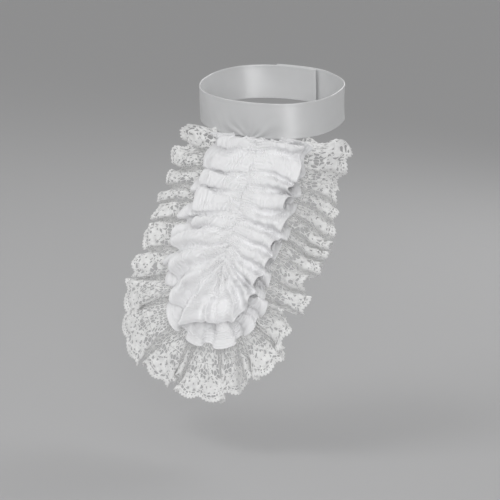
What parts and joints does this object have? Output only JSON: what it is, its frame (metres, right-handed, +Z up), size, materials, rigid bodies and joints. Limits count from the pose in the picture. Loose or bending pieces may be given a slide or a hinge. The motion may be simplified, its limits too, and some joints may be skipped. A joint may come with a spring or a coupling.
{
  "type": "lace jabot",
  "caption": "Neck band with a gathered bib of lace and crinkled chiffon ruffles hanging down the chest, shown as worn.",
  "frame": {"origin": "middle of the neck band's loop, where a neck goes through", "axes": "+Z up, -Y the way the wearer faces, +X the wearer's left; the band tips forward 14 degrees as a neck does"},
  "size_m": [0.2182, 0.2204, 0.3169],
  "materials": {
    "satin": "satin ribbon, soft sheen",
    "hook_tape": "matt looped tape",
    "backing_cloth": "matt plain weave",
    "lace": "matt floral lace with picot edge",
    "chiffon": "crinkled sheer chiffon with rolled hems"
  },
  "bodies": {
    "root": {"neck_band": "satin", "band_fastener": "hook_tape", "backing_panel": "backing_cloth", "lace_flounce": "lace", "under_ruffle": "chiffon", "top_ruffle": "chiffon"}
  },
  "joints": []
}
